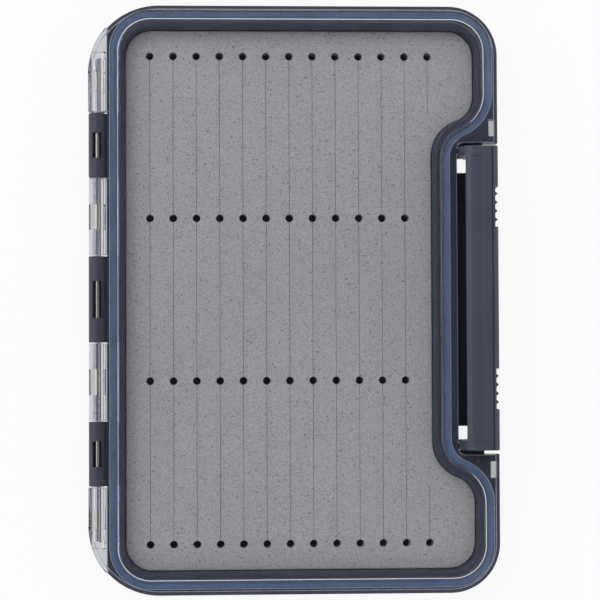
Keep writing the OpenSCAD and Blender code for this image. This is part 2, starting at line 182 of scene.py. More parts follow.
def flange_outline():
    """The lid's flange: wings at the hinge-side corners, strips over the lid's knuckles."""
    wing, wing_r, wing_end = hinge_corner(0)
    _, inner_r, start = hinge_corner(FLANGE_INSET)
    corner = (HALF_W - CORNER_R, -HALF_L + CORNER_R)
    return both_ends(
        [(FLANGE_LEFT, -LID_FROM), (HINGE_X, -LID_FROM), (HINGE_X, -LID_TO), (FLANGE_LEFT, -LID_TO)]
        + [(FLANGE_LEFT, -END_FROM), (-HALF_W, -END_FROM)]
        + arc(wing, wing_r, 180, wing_end, CORNER_STEPS)
        + arc(wing, inner_r, start, 270, CORNER_STEPS)
        + arc(corner, CORNER_R - FLANGE_INSET, 270, 360, CORNER_STEPS)
        + [(HALF_W - FLANGE_INSET, -RECESS_HALF)]
        + recess_edge(LUG_Y + FLANGE_LUG_GAP)
    )


def shrink(points, distance):
    """A closed counter-clockwise outline moved inwards, corner by corner."""
    sharpest = 0.5
    moved = []
    for i, here in enumerate(points):
        here = Vector(here)
        before = (here - Vector(points[i - 1])).normalized()
        after = (Vector(points[(i + 1) % len(points)]) - here).normalized()
        out = Vector((before.y + after.y, -before.x - after.x))
        moved.append(here - out * (2 * distance / max(out.length_squared, sharpest)))
    return moved


def soften(points, closed=True):
    """Corners given as (x, y, size) become short curves; those without a size stay."""
    soft = []
    for i, point in enumerate(points):
        here = Vector(point[:2])
        inside = closed or 0 < i < len(points) - 1
        if len(point) < 3 or not inside:
            soft.append(tuple(here))
            continue
        before = Vector(points[i - 1][:2]) - here
        after = Vector(points[(i + 1) % len(points)][:2]) - here
        a, b = here + before.normalized() * point[2], here + after.normalized() * point[2]
        steps = 6 if point[2] > 1 else 4
        for k in range(steps + 1):
            t = k / steps
            soft.append(tuple(a * (1 - t) ** 2 + here * 2 * t * (1 - t) + b * t**2))
    return soft


# ---------- meshes ----------


def new_object(name, bm):
    """A finished mesh in the scene, its faces turned outwards."""
    bmesh.ops.recalc_face_normals(bm, faces=bm.faces)
    mesh = bpy.data.meshes.new(name)
    bm.to_mesh(mesh)
    bm.free()
    made = bpy.data.objects.new(name, mesh)
    bpy.context.scene.collection.objects.link(made)
    return made


def add_ring(bm, points, z):
    """A loop of vertices at one height, from points in millimetres."""
    return [bm.verts.new((x * MM, y * MM, z * MM)) for x, y in points]


def join_rings(bm, lower, upper):
    """A band of faces between two rings with the same number of vertices."""
    for i in range(len(lower)):
        j = (i + 1) % len(lower)
        bm.faces.new((lower[i], lower[j], upper[j], upper[i]))


def add_cap(bm, rings):
    """Fills the area between an outer ring and the rings of its holes."""
    flat = [v for ring in rings for v in ring]
    for face in tessellate_polygon([[v.co for v in ring] for ring in rings]):
        bm.faces.new([flat[i] for i in face])


def stacked(name, bm, rings):
    """A closed shell from a stack of rings, with a flat cap at either end."""
    for lower, upper in zip(rings, rings[1:]):
        join_rings(bm, lower, upper)
    add_cap(bm, rings[:1])
    add_cap(bm, rings[-1:])
    return new_object(name, bm)


def lofted(name, profile, path):
    """A shell whose rings follow a wall's path at each (inset, z) of the profile."""
    bm = bmesh.new()
    return stacked(name, bm, [add_ring(bm, path(inset, z), z) for inset, z in profile])


def plate(name, outline, holes, low, high, rounding=0.25, upright=False):
    """A flat plate with rounded edges. An upright one has its outline in XZ and its height along Y."""
    bm = bmesh.new()
    levels = []
    for k in range(4):
        turn = math.radians(30 * k)
        levels.append((rounding * (1 - math.sin(turn)), rounding * (1 - math.cos(turn))))
    steps = [(s, low + z) for s, z in levels] + [(s, high - z) for s, z in reversed(levels)]
    loops = []
    for points, sign in [(outline, 1)] + [(hole, -1) for hole in holes]:
        rings = [add_ring(bm, shrink(points, sign * s), z) for s, z in steps]
        for lower, upper in zip(rings, rings[1:]):
            join_rings(bm, lower, upper)
        loops.append(rings)
    add_cap(bm, [rings[0] for rings in loops])
    add_cap(bm, [rings[-1] for rings in loops])
    if upright:
        for v in bm.verts:
            v.co = (v.co.x, v.co.z, v.co.y)
    return new_object(name, bm)


def block(name, low, high, rounding=CRISP):
    """A box between two corners."""
    corners = [(low[0], low[1]), (high[0], low[1]), (high[0], high[1]), (low[0], high[1])]
    return plate(name, corners, [], low[2], high[2], rounding)


def rod(name, x, z, radius, y0, y1, rounding=CRISP, sides=48):
    """A round bar along Y."""
    circle = arc((x, z), radius, 0, 360, sides)[:-1]
    return plate(name, circle, [], y0, y1, rounding, upright=True)


def settle(made):
    """Turns what an object's modifiers show into its own mesh."""
    shown = made.evaluated_get(bpy.context.evaluated_depsgraph_get())
    mesh = bpy.data.meshes.new_from_object(shown)
    made.modifiers.clear()
    made.data = mesh
    return made


def fused(name, parts, cuts=()):
    """One closed shell from overlapping parts, with the cuts taken out of it."""
    made = parts[0]
    made.name = made.data.name = name
    for other, operation in [(p, "UNION") for p in parts[1:]] + [(c, "DIFFERENCE") for c in cuts]:
        step = made.modifiers.new("step", "BOOLEAN")
        step.object, step.operation, step.solver = other, operation, "MANIFOLD"
    settle(made)
    for other in list(parts[1:]) + list(cuts):
        bpy.data.objects.remove(other)
    return made


def polished(made, angle=SHARP):
    """Smooth faces with crisp edges, the flat ones left flat."""
    made.data.shade_smooth()
    made.data.set_sharp_from_angle(angle=angle)
    weigh = made.modifiers.new("flat faces first", "WEIGHTED_NORMAL")
    weigh.keep_sharp = True
    return settle(made)


def fitted(made, material, body, slot, *nodes):
    """Gives a finished piece its material and its place among the moving bodies."""
    made.data.materials.clear()
    made.data.materials.append(material)
    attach(made, body)
    if nodes:
        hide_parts(*nodes)
    return made


# ---------- materials ----------


class Finish:
    """A node material on Object coordinates, built line by line."""

    def __init__(self, name):
        self.material = bpy.data.materials.new(name)
        self.material.use_nodes = True
        self.tree = self.material.node_tree
        self.surface = self.tree.nodes["Principled BSDF"]
        self.output = self.tree.nodes["Material Output"]
        self.coordinates = self.add("ShaderNodeTexCoord").outputs["Object"]

    def add(self, kind, **inputs):
        made = self.tree.nodes.new(kind)
        for name, value in inputs.items():
            self.set(made, name.replace("_", " "), value)
        return made

    def set(self, made, socket, value):
        if isinstance(value, bpy.types.NodeSocket):
            self.tree.links.new(value, made.inputs[socket])
        else:
            made.inputs[socket].default_value = value

    def principled(self, **inputs):
        for name, value in inputs.items():
            self.set(self.surface, name.replace("_", " "), value)

    def stretched(self, x, y, z):
        return self.add("ShaderNodeMapping", Vector=self.coordinates, Scale=(x, y, z)).outputs[0]

    def noise(self, scale, detail, vector=None, roughness=0.5):
        made = self.add("ShaderNodeTexNoise", Vector=vector or self.coordinates, Scale=scale)
        self.set(made, "Detail", detail)
        self.set(made, "Roughness", roughness)
        return made.outputs["Fac"]

    def ramp(self, value, low, high, start=0.35, end=0.65):
        """Maps a noise value to the range low to high, which may be numbers or colours."""
        if isinstance(low, (int, float)):
            made = self.add("ShaderNodeMapRange", Value=value)
            for socket, number in (("From Min", start), ("From Max", end)):
                self.set(made, socket, number)
            self.set(made, "To Min", low)
            self.set(made, "To Max", high)
            return made.outputs[0]
        made = self.add("ShaderNodeValToRGB", Fac=value)
        for stop, position, colour in zip(made.color_ramp.elements, (start, end), (low, high)):
            stop.position, stop.color = position, (*colour, 1)
        return made.outputs[0]

    def multiplied(self, first, second):
        made = self.tree.nodes.new("ShaderNodeMix")
        made.data_type, made.blend_type = "RGBA", "MULTIPLY"
        for socket, value in (("Factor", 1.0), ("A", first), ("B", second)):
            self.set(made, socket, value)
        return made.outputs["Result"]

    def bump(self, height, distance, strength):
        made = self.add("ShaderNodeBump", Height=height, Distance=distance, Strength=strength)
        return made.outputs[0]


def tone(colour, factor):
    """A colour made darker or lighter."""
    return tuple(min(1.0, c * factor) for c in colour)


def moulded_plastic(name, colour, roughness):
    """Satin injection moulding: fine spark-eroded grain and a faint flow mottle."""
    f = Finish(name)
    grain = f.noise(2600, 3)
    flow = f.noise(60, 2)
    f.principled(
        Base_Color=f.ramp(flow, tone(colour, 0.92), tone(colour, 1.08)),
        Roughness=f.ramp(grain, roughness - 0.06, roughness + 0.06),
        Normal=f.bump(grain, 0.00002, 0.35),
        Specular_IOR_Level=0.45,
    )
    return f.material


def clear_plastic():
    """Polished polycarbonate that lets lamps shine through it."""
    f = Finish("lid_polycarbonate")
    haze = f.noise(900, 3)
    f.principled(
        Base_Color=(0.885, 0.89, 0.94, 1),
        Transmission_Weight=1.0,
        IOR=1.5,
        Roughness=f.ramp(haze, 0.0, 0.035, 0.45, 0.8),
    )
    shade = f.add("ShaderNodeBsdfTransparent", Color=(0.985, 0.99, 1, 1))
    ray = f.add("ShaderNodeLightPath").outputs["Is Shadow Ray"]
    mix = f.add("ShaderNodeMixShader", Fac=ray)
    f.tree.links.new(f.surface.outputs[0], mix.inputs[1])
    f.tree.links.new(shade.outputs[0], mix.inputs[2])
    f.tree.links.new(mix.outputs[0], f.output.inputs["Surface"])
    return f.material


def edge_highlight_paint():
    """A painted highlight line for the lid's rounded edges: a half-clear lavender whose tone is
    mottled.
    """
    f = Finish("edge_highlight_paint")
    highlight_mottle = f.noise(700, 2)
    f.principled(
        # Painted highlight: this band colour stands in for the light that the rounded edges catch.
        Base_Color=f.ramp(highlight_mottle, (0.26, 0.28, 0.36), (0.42, 0.44, 0.52)),
        Transmission_Weight=0.45,
        IOR=1.5,
        Roughness=f.ramp(highlight_mottle, 0.3, 0.5),
    )
    return f.material


def silicone():
    """Soft blue rubber with a faint cloud in its colour."""
    f = Finish("blue_silicone")
    blue = (0.098, 0.174, 0.31)
    cloud = f.noise(90, 2)
    skin = f.noise(1400, 2)
    f.principled(
        Base_Color=f.ramp(cloud, tone(blue, 0.9), tone(blue, 1.12)),
        Roughness=f.ramp(skin, 0.28, 0.42),
        Normal=f.bump(skin, 0.00002, 0.3),
    )
    return f.material


def foam_skin():
    """Closed-cell foam: fine cells with scattered darker pores."""
    f = Finish("grey_foam")
    grey = (0.512, 0.502, 0.484)
    cells = f.noise(2300, 2, roughness=0.6)
    pores = f.noise(1350, 1)
    cloud = f.noise(14, 2)
    white = (1, 1, 1)
    fine = f.ramp(cells, tone(grey, 0.77), tone(grey, 1.22), 0.3, 0.7)
    pitted = f.multiplied(fine, f.ramp(pores, tone(white, 0.55), white, 0.24, 0.38))
    f.principled(
        Base_Color=f.multiplied(pitted, f.ramp(cloud, tone(white, 0.97), white)),
        Roughness=0.9,
        Specular_IOR_Level=0.25,
        Normal=f.bump(cells, 0.00006, 0.6),
    )
    return f.material


def drawn_steel():
    """Bright rod, with fine lines along its length."""
    f = Finish("drawn_steel")
    lines = f.noise(1.0, 3, vector=f.stretched(5200, 40, 5200))
    f.principled(
        Base_Color=(0.7, 0.685, 0.65, 1),
        Metallic=1.0,
        Roughness=f.ramp(lines, 0.13, 0.24),
        Normal=f.bump(lines, 0.00001, 0.5),
    )
    return f.material


def adhesive_film():
    """Pale double-sided film, slightly wrinkled."""
    f = Finish("adhesive_film")
    wrinkle = f.noise(220, 3)
    f.principled(
        Base_Color=f.ramp(wrinkle, (0.5, 0.5, 0.48), (0.62, 0.62, 0.6)),
        Roughness=0.35,
        Normal=f.bump(wrinkle, 0.00003, 0.5),
    )
    return f.material


tray_plastic = moulded_plastic("tray_satin", (0.04, 0.046, 0.073), 0.42)
latch_plastic = moulded_plastic("latch_satin", (0.046, 0.054, 0.08), 0.4)
clear = clear_plastic()
edge_highlight_material = edge_highlight_paint()
seal_rubber = silicone()
foam_grey = foam_skin()
steel = drawn_steel()
film = adhesive_film()


# ---------- node groups that repeat or follow a path ----------


def new_group(name, inputs):
    """A geometry node group with named inputs, and its input and output nodes."""
    group = bpy.data.node_groups.new(name, "GeometryNodeTree")
    group.interface.new_socket("Geometry", in_out="INPUT", socket_type="NodeSocketGeometry")
    for label, kind, value in inputs:
        socket = group.interface.new_socket(label, in_out="INPUT", socket_type="NodeSocket" + kind)
        if value is not None:
            socket.default_value = value
    group.interface.new_socket("Geometry", in_out="OUTPUT", socket_type="NodeSocketGeometry")
    return group, group.nodes.new("NodeGroupInput"), group.nodes.new("NodeGroupOutput")


def node(group, kind, links=(), **settings):
    """One node, its settings, and links given as input socket name or number to output."""
    made = group.nodes.new(kind)
    for name, value in settings.items():
        setattr(made, name, value)
    for socket, source in dict(links).items():
        if isinstance(source, bpy.types.NodeSocket):
            group.links.new(source, made.inputs[socket])
        else:
            made.inputs[socket].default_value = source
    return made


def modify(made, group, values):
    """Adds a geometry node modifier and sets its inputs by the sockets' identifiers."""
    step = made.modifiers.new(group.name, "NODES")
    step.node_group = group
    for item in group.interface.items_tree:
        if item.item_type == "SOCKET" and item.in_out == "INPUT" and item.name in values:
            step[item.identifier] = values[item.name]
    return step


def lattice(group, source):
    """Copies of the tool on a lattice of points, centred on Y."""
    wanted = source.outputs
    across = node(group, "ShaderNodeCombineXYZ", {"X": wanted["Column Pitch"]}).outputs[0]
    columns = node(group, "GeometryNodeMeshLine", {"Count": wanted["Columns"], "Offset": across})
    gaps = node(group, "ShaderNodeMath", {0: wanted["Rows"], 1: -1.0}, operation="ADD").outputs[0]
    pitch = wanted["Row Pitch"]
    reach = node(group, "ShaderNodeMath", {0: gaps, 1: pitch}, operation="MULTIPLY").outputs[0]
    back = node(group, "ShaderNodeMath", {0: reach, 1: -0.5}, operation="MULTIPLY").outputs[0]
    start = node(group, "ShaderNodeCombineXYZ", {"X": wanted["First X"], "Y": back}).outputs[0]
    along = node(group, "ShaderNodeCombineXYZ", {"Y": pitch}).outputs[0]
    rows = node(
        group,
        "GeometryNodeMeshLine",
        {"Count": wanted["Rows"], "Start Location": start, "Offset": along},
    )
    tool = node(group, "GeometryNodeObjectInfo", {"Object": wanted["Tool"]})
    placed = rows.outputs[0]
    for copied in (columns.outputs[0], tool.outputs["Geometry"]):
        copies = node(group, "GeometryNodeInstanceOnPoints", {"Points": placed, "Instance": copied})
        placed = node(group, "GeometryNodeRealizeInstances", {0: copies.outputs[0]}).outputs[0]
    return placed


LATTICE = [
    ("Tool", "Object", None),
    ("Columns", "Int", 1),
    ("Rows", "Int", 1),
    ("Column Pitch", "Float", 0.01),
    ("Row Pitch", "Float", 0.01),
    ("First X", "Float", 0.0),
    ("Finish", "Material", None),
]


def put_out(group, geometry, source, result):
    """Ends a group: its instances made real, in the material that was asked for."""
    whole = node(group, "GeometryNodeRealizeInstances", {0: geometry}).outputs[0]
    coat = node(
        group,
        "GeometryNodeSetMaterial",
        {"Geometry": whole, "Material": source.outputs["Finish"]},
    )
    group.links.new(coat.outputs[0], result.inputs[0])
    return group


def perforation_group():
    """Punches copies of a tool out of a sheet."""
    group, source, result = new_group("perforation", LATTICE)
    punch = node(group, "GeometryNodeMeshBoolean", operation="DIFFERENCE", solver="MANIFOLD")
    group.links.new(source.outputs["Geometry"], punch.inputs[0])
    group.links.new(lattice(group, source), punch.inputs[1])
    return put_out(group, punch.outputs[0], source, result)


def ribbing_group():
    """Sets copies of a rib side by side."""
    group, source, result = new_group("ribbing", LATTICE)
    return put_out(group, lattice(group, source), source, result)


def seal_group():
    """Sweeps a section along the groove."""
    group, source, result = new_group(
        "seal_sweep",
        [("Groove", "Object", None), ("Section", "Object", None), ("Finish", "Material", None)],
    )
    groove = node(group, "GeometryNodeObjectInfo", {"Object": source.outputs["Groove"]})
    section = node(group, "GeometryNodeObjectInfo", {"Object": source.outputs["Section"]})
    sweep = node(
        group,
        "GeometryNodeCurveToMesh",
        {0: groove.outputs["Geometry"], 1: section.outputs["Geometry"]},
    )
    return put_out(group, sweep.outputs[0], source, result)


# ---------- tray ----------


def knuckle_cuts(y0, y1, window, bore):
    """Bore, top window and the open half-shells under a knuckle's ends, on both sides of Y."""
    high, low = HINGE_Z + KNUCKLE_R + PAST_KNUCKLE, HINGE_Z - KNUCKLE_R - PAST_KNUCKLE
    cuts = [
        rod("bore", HINGE_X, HINGE_Z, bore, y0, y1),
        block(
            "window",
            (HINGE_X - WINDOW_HALF, window[0], HINGE_Z),
            (HINGE_X + WINDOW_HALF, window[1], high),
        ),
    ]
    for start, end in ((y0, window[0]), (window[1], y1)):
        cuts.append(
            block(
                "open_half",
                (HINGE_X - HINGE_PIN_R, start, low),
                (HINGE_X + HINGE_PIN_R, end, HINGE_Z),
            )
        )
    return cuts


def mirrored(pair):
    """A span along Y, moved to the other side of the middle."""
    return (-pair[1], -pair[0])


def make_tray():
    """Floor, wall and rim in one moulding, with the hinge knuckles and the latch's barrel."""
    body = lofted(
        "tray",
        soften(
            [
                (FOOT_IN + 1.5, 0),
                (FOOT_IN, 0, 0.3),
                (FOOT_IN, FOOT_H, 0.1),
                (BODY_IN, FOOT_H, 0.35),
                (BODY_IN, RIM_Z, 0.4),
                (LIP - 0.2, RIM_Z),
                (LIP - 0.2, GROOVE_Z),
                (GROOVE_IN, GROOVE_Z, 0.2),
                (GROOVE_IN, TRAY_H, 0.25),
                (POCKET_IN, TRAY_H, 1.1),
                (POCKET_IN, FLOOR_Z, 0.8),
                (POCKET_IN + 2.5, FLOOR_Z),
            ],
            closed=False,
        ),
        tray_path,
    )
    rim = plate("rim", tray_outline(), [seal_path(LIP)], RIM_Z, TRAY_H, 0.22)
    parts = [body, rim]
    cuts = []
    spans = [((-MID_KNUCKLE, MID_KNUCKLE), (-MID_WINDOW, MID_WINDOW))]
    outer = (OUTER_FROM, OUTER_TO)
    spans += [(outer, OUTER_WINDOW), (mirrored(outer), mirrored(OUTER_WINDOW))]
    for (y0, y1), window in spans:
        parts.append(rod("knuckle", HINGE_X, HINGE_Z, KNUCKLE_R, y0, y1, 0.2))
        parts.append(
            block("root", (HINGE_X, y0, HINGE_Z - KNUCKLE_R), (TRAY_LEFT + 0.4, y1, HINGE_Z), 0.1)
        )
        cuts += knuckle_cuts(y0 - 0.5, y1 + 0.5, window, HINGE_PIN_R + 0.02)
    web = (WEB_X, -BARREL_HALF, LATCH_Z - WEB_HALF_T), (LATCH_X, BARREL_HALF, LATCH_Z + WEB_HALF_T)
    parts.append(block("web", *web, 0.2))
    parts.append(rod("barrel", LATCH_X, LATCH_Z, BARREL_R, -BARREL_HALF, BARREL_HALF, 0.25))
    pin = LATCH_X, LATCH_Z, LATCH_PIN_R + 0.02
    cuts.append(rod("latch_bore", *pin, -BARREL_HALF - 1, BARREL_HALF + 1))
    # Each ledge is a dark block standing in for the shade in the gap beside the latch's end (painted
    # shade); each coring slot is a real cut.
    for shade_ledge_y, coring_y in ((SHADE_LEDGE_Y, CORING_Y), (mirrored(SHADE_LEDGE_Y), mirrored(CORING_Y))):
        ledge = (SHADE_LEDGE_X[0], shade_ledge_y[0], RIM_Z - SHADE_LEDGE_DROP), (SHADE_LEDGE_X[1], shade_ledge_y[1], RIM_Z + 0.5)
        parts.append(block("ledge", *ledge, 0.2))
        coring = (CORING_X[0], coring_y[0], RIM_Z - 1), (CORING_X[1], coring_y[1], TRAY_H + 1)
        cuts.append(block("coring", *coring))
    made = polished(fused("tray_shell", parts, cuts))
    return fitted(made, tray_plastic, "case", "tray_plastic", "base_tray")


# ---------- lid ----------


def paint_edge_highlight(made):
    """Paints a highlight line on the flange's border and the top's rounded edge: their rounded faces
    take the painted edge highlight material.
    """
    made.data.materials.append(edge_highlight_material)
    steepest, flattest = 0.15, 0.99
    bands = (FLANGE_TOP - 0.26, FLANGE_TOP - 0.005), (CASE_H - 0.45, CASE_H - 0.125)
    # Only the rounded faces within these bands take the painted highlight.
    for face in made.data.polygons:
        height = face.center.z / MM
        rounded = steepest < face.normal.z < flattest
        if rounded and any(low < height < high for low, high in bands):
            face.material_index = 1


def make_lid():
    """Clear dome and flange in one moulding, with the outer hinge knuckles."""
    dome = lofted(
        "dome",
        soften(
            [
                (LID_IN + 1, CASE_H),
                (LID_OUT + STEP_IN + 0.15, CASE_H, 0.08),
                (LID_OUT + STEP_IN, CASE_H - STEP_H, 0.08),
                (LID_OUT + LID_LEAN, CASE_H - STEP_H, 0.3),
                (LID_OUT, FLANGE_TOP),
                (LID_OUT, TONGUE_Z, 0.2),
                (LID_IN, TONGUE_Z, 0.2),
                (LID_IN, FLANGE_Z),
                (LID_IN + LID_DRAFT, CEILING_Z, 0.8),
                (LID_IN + 3, CEILING_Z),
            ],
            closed=False,
        ),
        lambda inset, z: seal_path(inset),
    )
    hole = seal_path(FLANGE_HOLE_IN)
    parts = [dome, plate("flange", flange_outline(), [hole], FLANGE_Z, FLANGE_TOP, 0.25)]
    cuts = []
    wing, wing_r, wing_end = hinge_corner(0)
    for side in (1, -1):
        edge = arc(wing, wing_r, 180, wing_end - 1, EDGE_STEPS)
        bead = edge + arc(wing, wing_r - BEAD_WIDTH, wing_end - 1, 180, EDGE_STEPS)
        bead = [(x, y * side) for x, y in bead][::side]
        parts.append(plate("bead", bead, [], FLANGE_TOP - 0.4, FLANGE_TOP + BEAD_RISE, 0.2))
        far = -HALF_W - 12
        beyond = arc(wing, wing_r + 0.03, 182, 232, EDGE_STEPS)
        beyond += [(far, -HALF_L - 3), (far, wing[1] - 1)]
        beyond = [(x, y * side) for x, y in beyond][::-side]
        reach = KNUCKLE_R + PAST_KNUCKLE
        cuts.append(plate("beyond", beyond, [], HINGE_Z - reach, HINGE_Z + reach, CRISP))
    for rib_y in (END_RIB_Y, mirrored(END_RIB_Y)):
        low, high = FLANGE_TOP - 0.4, FLANGE_TOP + END_RIB_RISE
        rib = (END_RIB_X[0], rib_y[0], low), (END_RIB_X[1], rib_y[1], high)
        parts.append(block("end_rib", *rib, 0.2))
    third = (LID_TO - LID_FROM) / 3
    inner = (LID_FROM, LID_TO), (LID_FROM + third, LID_TO - third)
    for (y0, y1), window in (inner, tuple(mirrored(p) for p in inner)):
        parts.append(rod("knuckle", HINGE_X, HINGE_Z, KNUCKLE_R, y0, y1, 0.2))
        cuts += knuckle_cuts(y0 - 0.2, y1 + 0.2, window, HINGE_PIN_R + 0.05)
    pin_stop = PIN_HALF + 0.3
    outer = (END_FROM, END_TO), END_WINDOW, (END_FROM - 0.2, pin_stop)
    for (y0, y1), window, bore in (outer, tuple(mirrored(p) for p in outer)):
        parts.append(rod("knuckle", HINGE_X, HINGE_Z, KNUCKLE_R, y0, y1, 0.2))
        cuts += knuckle_cuts(bore[0], bore[1], window, HINGE_PIN_R + 0.05)
    made = fitted(polished(fused("clear_lid", parts, cuts)), clear, "lid", "clear_plastic", "lid")
    paint_edge_highlight(made)
    return made


# ---------- latch ----------


def leaning(x, z):
    """Where a point x of the latch's wall, given at the pin's height, lies at height z."""
    return x - (HALF_W - ROUND_X - ROUND_R) * (z - LATCH_Z) / (ROUND_Z - LATCH_Z)


def make_latch():
    """An end-plate section over the whole length, hollowed between the end plates."""
    shoulder_r = CASE_H - HOOK_Z - SHOULDER_RISE
    shoulder = (HOOK_X + shoulder_r, HOOK_Z + SHOULDER_RISE)
    section = (
        arc((LATCH_X, LATCH_Z), BOSS_R, 180, 360 + LEAN_ANGLE, 28)
        + arc((ROUND_X, ROUND_Z), ROUND_R, LEAN_ANGLE, 90, 10)
        + arc(shoulder, shoulder_r, 90, 180, 14)
        + [(HOOK_X, HOOK_Z), (WAIST_X, HOOK_Z), (WAIST_X, RIM_Z)]
    )
    parts = [plate("latch", section, [], -LATCH_HALF, LATCH_HALF, 0.35, upright=True)]
    face_x = FACE_X + 0.2
    inner_x = HALF_W - LATCH_T
    under = CASE_H - LATCH_T
    hollow = soften(
        [
            (45, -5),
            (70, -5),
            (70, HEM_Z),
            (leaning(HALF_W, HEM_Z) - 0.4, HEM_Z, 0.3),
            (leaning(inner_x, HEM_Z), HEM_Z, 0.3),
            (leaning(inner_x, under), under, 1.4),
            (face_x, under, 0.3),
            (face_x, CASE_H, 0.45),
            (face_x + 1.5, CASE_H + 0.001),
            (face_x + 1.5, 30),
            (45, 30),
        ]
    )
    cuts = [plate("hollow", hollow, [], -LUG_Y, LUG_Y, 0.2, upright=True)]
    snap_x = (HOOK_X + LUG_X) / 2
    for y0, y1 in ((LUG_Y, LATCH_HALF), (-LATCH_HALF, -LUG_Y)):
        parts.append(rod("snap", snap_x, FLANGE_TOP + SNAP_R, SNAP_R, y0 + 0.1, y1 - 0.1, 0.1, 20))
    end = LATCH_HALF + 1
    cuts.append(rod("bore", LATCH_X, LATCH_Z, LATCH_PIN_R + 0.05, -end, end))
    cuts.append(rod("clear", LATCH_X, LATCH_Z, BARREL_R + 0.3, -LUG_Y, LUG_Y))
    dish_z = CASE_H - DISH_DEPTH + DISH_R
    cuts.append(rod("dish", DISH_X, dish_z, DISH_R, -LUG_Y, LUG_Y, sides=200))
    seam = (SEAM_X - SEAM_HALF, -end, CASE_H - SEAM_DEPTH), (SEAM_X + SEAM_HALF, end, CASE_H + 1)
    cuts.append(block("seam", *seam, 0.05))
    grip_y = (GRIP_Y - GRIP_HALF, GRIP_Y + GRIP_HALF)
    for y0, y1 in (grip_y, mirrored(grip_y)):
        corners = (HALF_W - GRIP_DEPTH, y0, HEM_Z + GRIP_FOOT), (HALF_W + 4, y1, CASE_H + 1)
        grip = block("grip", *corners, 0.2)
        for v in grip.data.vertices:
            v.co.x = leaning(v.co.x / MM, v.co.z / MM) * MM
        cuts.append(grip)
    made = polished(fused("side_latch", parts, cuts))
    return fitted(made, latch_plastic, "latch", "latch_plastic", "latch")


def make_grips():
    """Ribs standing in the latch's two grip pockets."""
    foot = GRIP_DEPTH + 0.25
    rib = soften([(-RIB_HALF, -foot), (RIB_HALF, -foot), (0.0, -0.1, 0.3)])
    tool = plate("rib", rib, [], HEM_Z + GRIP_FOOT - 0.2, ROUND_Z + 0.4, 0.1)
    for v in tool.data.vertices:
        across, out, up = v.co
        v.co = (leaning(out / MM, up / MM) * MM, -across, up)
    bm = bmesh.new()
    for side in (1, -1):
        grip = bpy.data.objects.new("grip", bpy.data.meshes.new("grip"))
        bpy.context.scene.collection.objects.link(grip)
        modify(
            grip,
            ribbing_group(),
            {
                "Tool": tool,
                "Columns": 1,
                "Rows": RIBS,
                "Row Pitch": RIB_PITCH * MM,
                "First X": HALF_W * MM,
                "Finish": latch_plastic,
            },
        )
        settle(grip)
        for v in grip.data.vertices:
            v.co.y += side * GRIP_Y * MM
        bm.from_mesh(grip.data)
        bpy.data.objects.remove(grip)
    bpy.data.objects.remove(tool)
    made = new_object("latch_grips", bm)
    return fitted(polished(made), latch_plastic, "latch", "latch_plastic")


# ---------- foam, seal, pins and film ----------


def foam_tools():
    """A round punch and two slit blades, each flared where it leaves the foam's skin."""
    above, below_skin = FOAM_TOP + 1, FOAM_TOP - 0.1
    bm = bmesh.new()
    rings = []
    for extra, z in (
        (0.0, FOAM_Z - 1),
        (0.0, below_skin),
        (HOLE_FLARE, FOAM_TOP + 0.12),
        (HOLE_FLARE, above),
    ):
        rings.append(add_ring(bm, arc((0, 0), RELIEF_R + extra, 0, 360, 32)[:-1], z))
    tools = [stacked("punch", bm, rings)]
    for end in (ROW_END, SHORT_SLIT / 2):
        bm = bmesh.new()
        rings = []
        for half, z in (
            (SLIT_HALF, SLIT_BOTTOM),
            (SLIT_HALF, below_skin),
            (SLIT_FLARE, FOAM_TOP + 0.05),
            (SLIT_FLARE, above),
        ):
            corners = [(-half, -end), (half, -end), (half, end), (-half, end)]
            rings.append(add_ring(bm, corners, z))
        tools.append(stacked("blade", bm, rings))
    return tools


def make_foam():
    """The foam's slab, punched with relief holes and slit along its columns."""
    slab = lofted(
        "foam",
        soften(
            [
                (FOAM_IN + 2, FOAM_Z),
                (FOAM_IN, FOAM_Z, 0.1),
                (FOAM_IN, FOAM_TOP, 0.5),
                (FOAM_IN + 2, FOAM_TOP),
            ],
            closed=False,
        ),
        lambda inset, z: pocket_path(inset),
    )
    punch, blade, short_blade = foam_tools()
    last_x = COLUMN_X + (COLUMNS - 1) * COLUMN_PITCH
    group = perforation_group()
    short_at = 2 * ROW_END - SHORT_SLIT
    for tool, columns, rows, row_pitch, first in (
        (punch, COLUMNS - 1, ROWS, ROW_PITCH, COLUMN_X),
        (punch, 1, 2, 2 * ROW_END, last_x),
        (blade, COLUMNS - 1, 1, 1.0, COLUMN_X),
        (short_blade, 1, 2, short_at, last_x),
    ):
        modify(
            slab,
            group,
            {
                "Tool": tool,
                "Columns": columns,
                "Rows": rows,
                "Column Pitch": COLUMN_PITCH * MM,
                "Row Pitch": row_pitch * MM,
                "First X": first * MM,
                "Finish": foam_grey,
            },
        )
    slab.name = slab.data.name = "foam_sheet"
    settle(slab)
    for tool in (punch, blade, short_blade):
        bpy.data.objects.remove(tool)
    made = fitted(polished(slab), foam_grey, "case", "slit_foam", "foam_pad")
    return made


def curve_object(name, points):
    """A closed straight-sided curve through points given in metres."""
    curve = bpy.data.curves.new(name, "CURVE")
    curve.dimensions = "3D"
    spline = curve.splines.new("POLY")
    spline.points.add(len(points) - 1)
    for target, point in zip(spline.points, points):
        target.co = (*point, 1)
    spline.use_cyclic_u = True
    made = bpy.data.objects.new(name, curve)
    bpy.context.scene.collection.objects.link(made)
    return made


